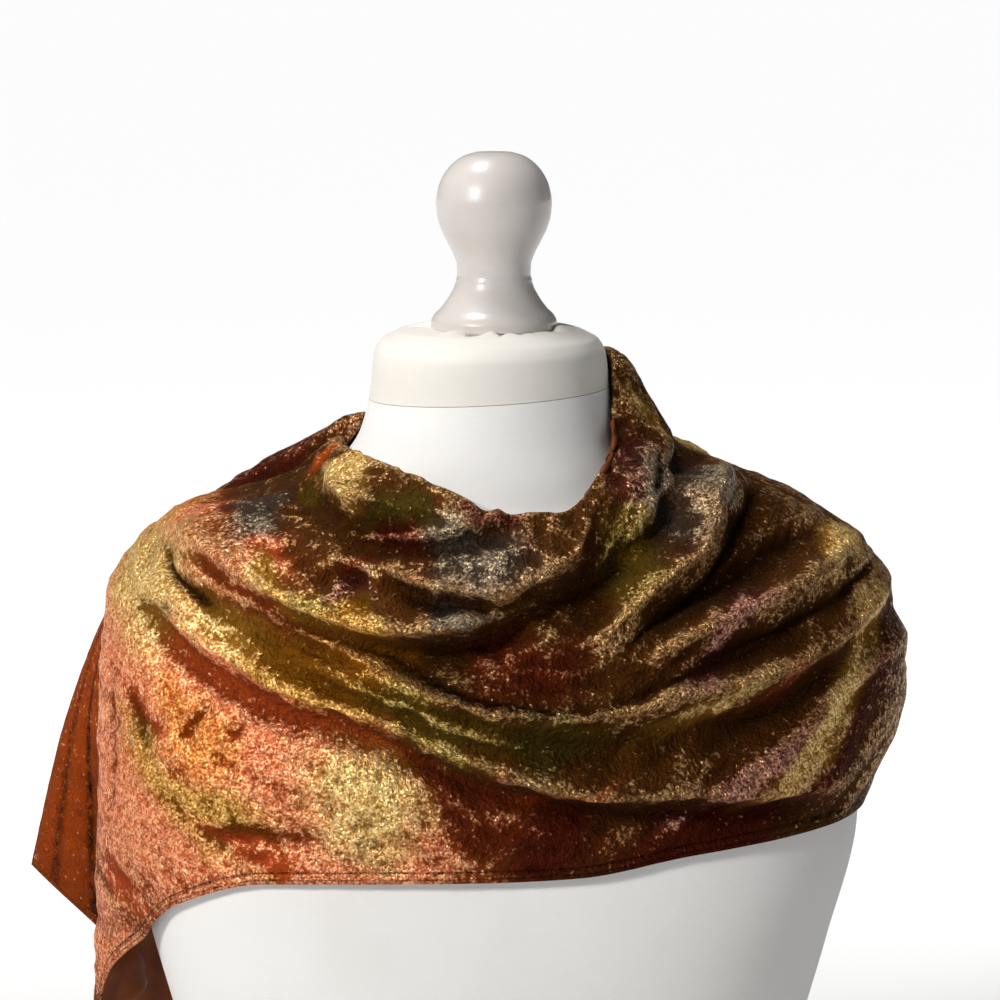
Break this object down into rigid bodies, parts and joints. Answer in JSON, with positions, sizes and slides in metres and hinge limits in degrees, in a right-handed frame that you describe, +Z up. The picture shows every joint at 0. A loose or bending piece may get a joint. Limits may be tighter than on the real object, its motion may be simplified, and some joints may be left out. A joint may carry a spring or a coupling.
{
  "type": "velvet scarf on a dress form",
  "caption": "Hand-dyed crushed velvet scarf wound round the shoulders of a limbless white dress form with a turned finial, one end hanging free at the shoulder.",
  "frame": {"origin": "centre of the form's flat underside, below the neck's axis", "axes": "+Z up through the neck and finial; -Y to the front of the form; +X to the right of the front view"},
  "size_m": [0.4553, 0.2505, 0.6972],
  "materials": {
    "white_jersey": "matt stretch jersey over a padded form",
    "cream_jersey": "matt stretch jersey, gathered under the finial",
    "painted_wood": "turned wood under glossy off-white paint",
    "dyed_velvet": "crushed velvet dyed in mottled orange, gold, olive, grey and maroon",
    "dark_dyed_velvet": "the same crushed velvet in dark maroon brown and olive"
  },
  "bodies": {
    "root": {"form_body": "white_jersey", "form_neck_cap": "cream_jersey", "finial": "painted_wood", "scarf_front_stretch": "dyed_velvet", "scarf_back_stretch": "dark_dyed_velvet"}
  },
  "joints": []
}
